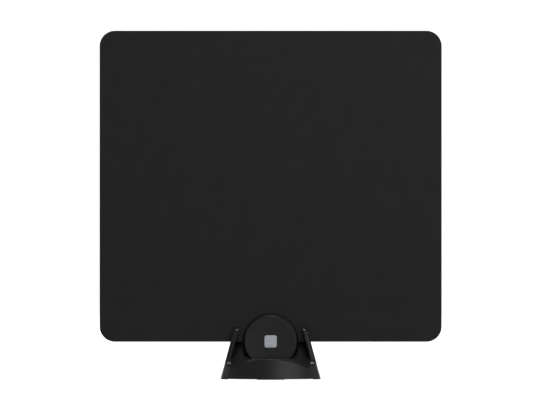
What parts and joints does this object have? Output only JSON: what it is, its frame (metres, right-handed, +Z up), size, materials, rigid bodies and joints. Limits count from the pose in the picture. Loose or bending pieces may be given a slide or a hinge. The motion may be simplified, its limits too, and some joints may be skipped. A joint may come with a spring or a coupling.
{
  "type": "flat indoor tv antenna",
  "caption": "Thin flat rectangular indoor television antenna with a round feed housing on its lower edge, standing in slots of a small moulded stand with leaning arms and a rear cable socket.",
  "frame": {"origin": "on the table under the middle of the sheet, halfway from the front to the back of the base", "axes": "+X to the viewer's right along the sheet, +Y away from the viewer out of the sheet's back, +Z up"},
  "size_m": [0.3352, 0.06, 0.3408],
  "materials": {
    "sheet_black": "fine matte black film",
    "sheet_black_rear": "fine matte black film",
    "foil": "bright foil",
    "rivet_brass": "plain brass",
    "housing_black": "fine matte moulded black",
    "screw_steel": "dark plated steel",
    "badge_silver": "satin silver",
    "board_laminate": "green solder mask",
    "ferrite": "dull grey ferrite",
    "winding_copper": "enamelled copper",
    "chip_ceramic": "plain ceramic",
    "socket_nickel": "nickel plate",
    "insulator_white": "waxy white plastic",
    "contact_brass": "plain brass",
    "stand_black": "fine matte moulded black"
  },
  "bodies": {
    "root": {"panel_front_film": "sheet_black", "panel_rear_film": "sheet_black_rear", "antenna_element_left": "foil", "antenna_element_right": "foil", "feed_rivets": "rivet_brass", "housing_front_cap": "housing_black", "housing_rear_cap": "housing_black", "housing_screws": "screw_steel", "badge_plate": "badge_silver", "matching_board": "board_laminate", "balun_core": "ferrite", "balun_winding": "winding_copper", "chip_capacitors": "chip_ceramic", "coax_socket_body": "socket_nickel", "coax_insulator": "insulator_white", "coax_contact": "contact_brass", "stand_body": "stand_black"}
  },
  "joints": []
}
